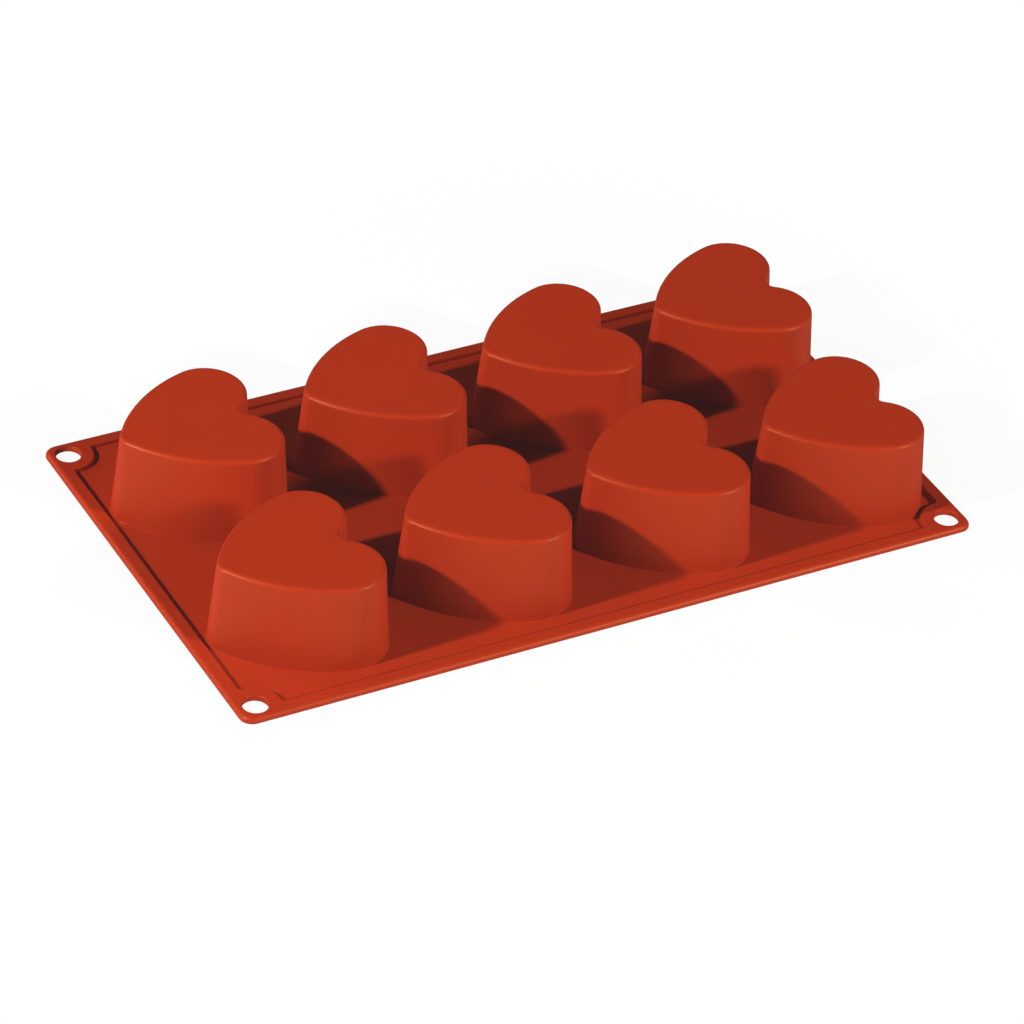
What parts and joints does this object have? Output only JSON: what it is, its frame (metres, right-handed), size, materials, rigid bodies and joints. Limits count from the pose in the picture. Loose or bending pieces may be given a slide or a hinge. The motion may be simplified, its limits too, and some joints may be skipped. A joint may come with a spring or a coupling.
{
  "type": "silicone baking mould",
  "caption": "One-piece flexible baking mould: drafted heart-shaped cups standing on a thin web inside a raised rim with a hanging hole at each corner.",
  "frame": {"origin": "centre of the sheet, on the flat filling face that it rests on when it lies mouth down", "axes": "+X along the long side, from the points of the hearts to their notches; +Y across the two rows; +Z from the filling face towards the outside of the cup bottoms"},
  "size_m": [0.3, 0.175, 0.035],
  "materials": {
    "silicone": "satin"
  },
  "bodies": {
    "root": {"silicone_mould": "silicone"}
  },
  "joints": []
}
